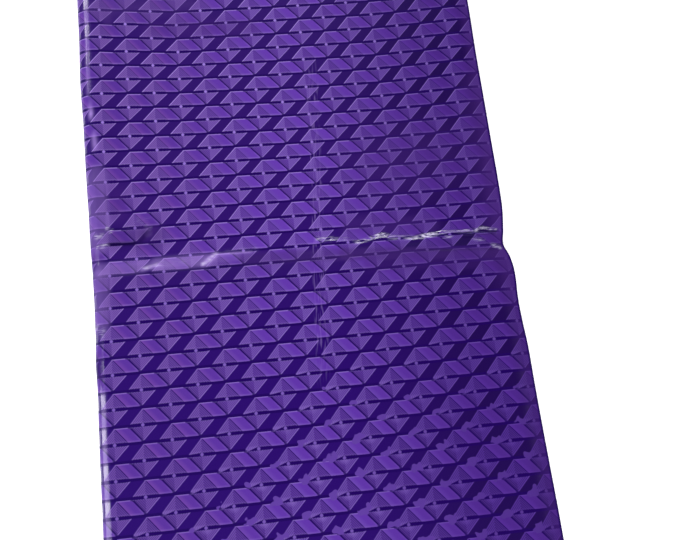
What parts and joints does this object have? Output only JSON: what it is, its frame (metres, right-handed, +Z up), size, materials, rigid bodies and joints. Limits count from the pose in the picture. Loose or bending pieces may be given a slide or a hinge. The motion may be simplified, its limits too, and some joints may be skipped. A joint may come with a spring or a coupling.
{
  "type": "folded brocade fabric",
  "caption": "Length of glazed purple damask-woven cotton brocade, folded back and forth into a long flat pack with one pressed crosswise crease.",
  "frame": {"origin": "centre of the pack's bounding box, on the surface that it lies on", "axes": "+X across the pack towards the slim folds, +Y along the pack, +Z up"},
  "size_m": [0.3886, 0.75, 0.0156],
  "materials": {
    "glazed_cotton": "glazed satin damask"
  },
  "bodies": {
    "root": {"brocade_cloth": "glazed_cotton"}
  },
  "joints": []
}
